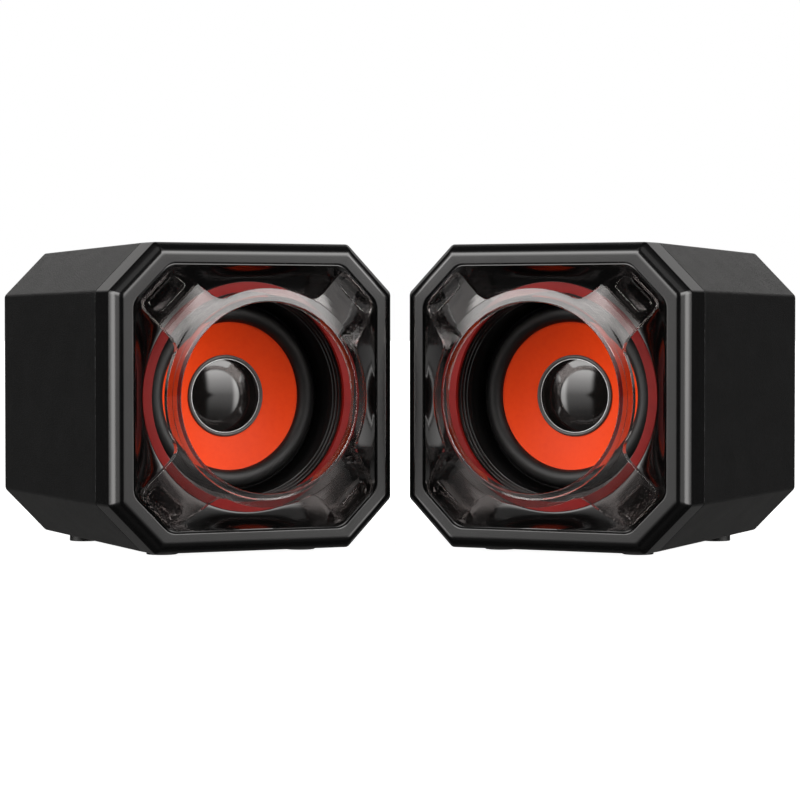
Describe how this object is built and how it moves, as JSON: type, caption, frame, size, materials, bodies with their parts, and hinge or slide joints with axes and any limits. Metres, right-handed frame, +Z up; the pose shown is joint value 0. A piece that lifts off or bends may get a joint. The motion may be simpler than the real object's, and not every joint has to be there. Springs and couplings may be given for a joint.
{
  "type": "desktop speakers",
  "caption": "Pair of compact desktop speakers with octagonal bezels, orange cones, clear cross-shaped front trims and a rear volume knob; the cones travel and the satellite can be set apart.",
  "frame": {"origin": "on the desk, at the bottom centre of the pair's overall box", "axes": "+X to the listener's right, -Y towards the listener, +Z up"},
  "size_m": [0.286, 0.146, 0.1054],
  "materials": {
    "grained_black_plastic": "black vinyl-look moulded grain",
    "satin_black_plastic": "semi-gloss black with a greyer polished front rim",
    "gloss_black_plastic": "piano black",
    "red_satin": "satin red",
    "smoke_clear_plastic": "smoke-tinted clear acrylic",
    "black_rubber": "matte",
    "matte_black_plastic": "fine spark texture",
    "black_steel": "black oxide",
    "black_foam": "closed-cell foam",
    "black_painted_steel": "semi-gloss black",
    "board_green": "solder mask",
    "zinc_steel": "zinc plated",
    "amber_cloth": "resin-dipped cloth",
    "orange_cone": "coated orange",
    "grey_collar": "satin grey",
    "gloss_black_cap": "polished black",
    "aluminium_foil": "plain",
    "copper_wire": "enamelled copper",
    "ferrite": "ground ferrite",
    "capacitor_sleeve": "dark sleeve"
  },
  "bodies": {
    "right_speaker": {"right_accent_ring": "red_satin", "right_amplifier_board": "board_green", "right_audio_in_jack": "gloss_black_plastic", "right_baffle": "gloss_black_plastic", "right_board_screws": "zinc_steel", "right_cabinet_shell": "grained_black_plastic", "right_capacitors": "capacitor_sleeve", "right_clear_trim": "smoke_clear_plastic", "right_driver_basket": "black_painted_steel", "right_driver_gasket": "black_foam", "right_driver_screws": "zinc_steel", "right_feet": "black_rubber", "right_front_bezel": "satin_black_plastic", "right_heatsink": "aluminium_foil", "right_magnet": "ferrite", "right_pole_yoke": "zinc_steel", "right_power_inlet": "gloss_black_plastic", "right_rear_panel": "matte_black_plastic", "right_rear_panel_screws": "black_steel", "right_satellite_out_jack": "gloss_black_plastic", "right_spider": "amber_cloth", "right_surround": "black_rubber", "right_terminal_strip": "board_green", "right_top_plate": "zinc_steel", "right_volume_pot": "zinc_steel"},
    "right_cone_assembly": {"right_cone": "orange_cone", "right_cone_collar": "grey_collar", "right_dust_cap": "gloss_black_cap", "right_voice_coil_former": "aluminium_foil", "right_voice_coil": "copper_wire"},
    "right_volume_control": {"right_volume_knob": "matte_black_plastic", "right_volume_shaft": "zinc_steel"},
    "left_speaker": {"left_accent_ring": "red_satin", "left_audio_in_jack": "gloss_black_plastic", "left_baffle": "gloss_black_plastic", "left_cabinet_shell": "grained_black_plastic", "left_clear_trim": "smoke_clear_plastic", "left_driver_basket": "black_painted_steel", "left_driver_gasket": "black_foam", "left_driver_screws": "zinc_steel", "left_feet": "black_rubber", "left_front_bezel": "satin_black_plastic", "left_jack_board": "board_green", "left_magnet": "ferrite", "left_pole_yoke": "zinc_steel", "left_rear_panel": "matte_black_plastic", "left_rear_panel_screws": "black_steel", "left_spider": "amber_cloth", "left_surround": "black_rubber", "left_terminal_strip": "board_green", "left_top_plate": "zinc_steel"},
    "left_cone_assembly": {"left_cone": "orange_cone", "left_cone_collar": "grey_collar", "left_dust_cap": "gloss_black_cap", "left_voice_coil_former": "aluminium_foil", "left_voice_coil": "copper_wire"}
  },
  "joints": [
    {"name": "left_speaker_place", "type": "slide", "parent": "right_speaker", "child": "left_speaker", "axis": [-1, 0, 0], "range_m": [0, 0.5]},
    {"name": "right_cone_travel", "type": "slide", "parent": "right_speaker", "child": "right_cone_assembly", "axis": [-0.4587, -0.8886, 0], "range_m": [-0.0025, 0.0025], "stiffness_N_per_m": 1400, "deforming": ["right_surround", "right_spider"]},
    {"name": "left_cone_travel", "type": "slide", "parent": "left_speaker", "child": "left_cone_assembly", "axis": [0.4587, -0.8886, 0], "range_m": [-0.0025, 0.0025], "stiffness_N_per_m": 1400, "deforming": ["left_surround", "left_spider"]},
    {"name": "volume_turn", "type": "hinge", "parent": "right_speaker", "child": "right_volume_control", "pos_m": [0.09753, 0.04871, 0.0734], "axis": [0.4587, 0.8886, 0], "range_deg": [-150, 150]}
  ]
}
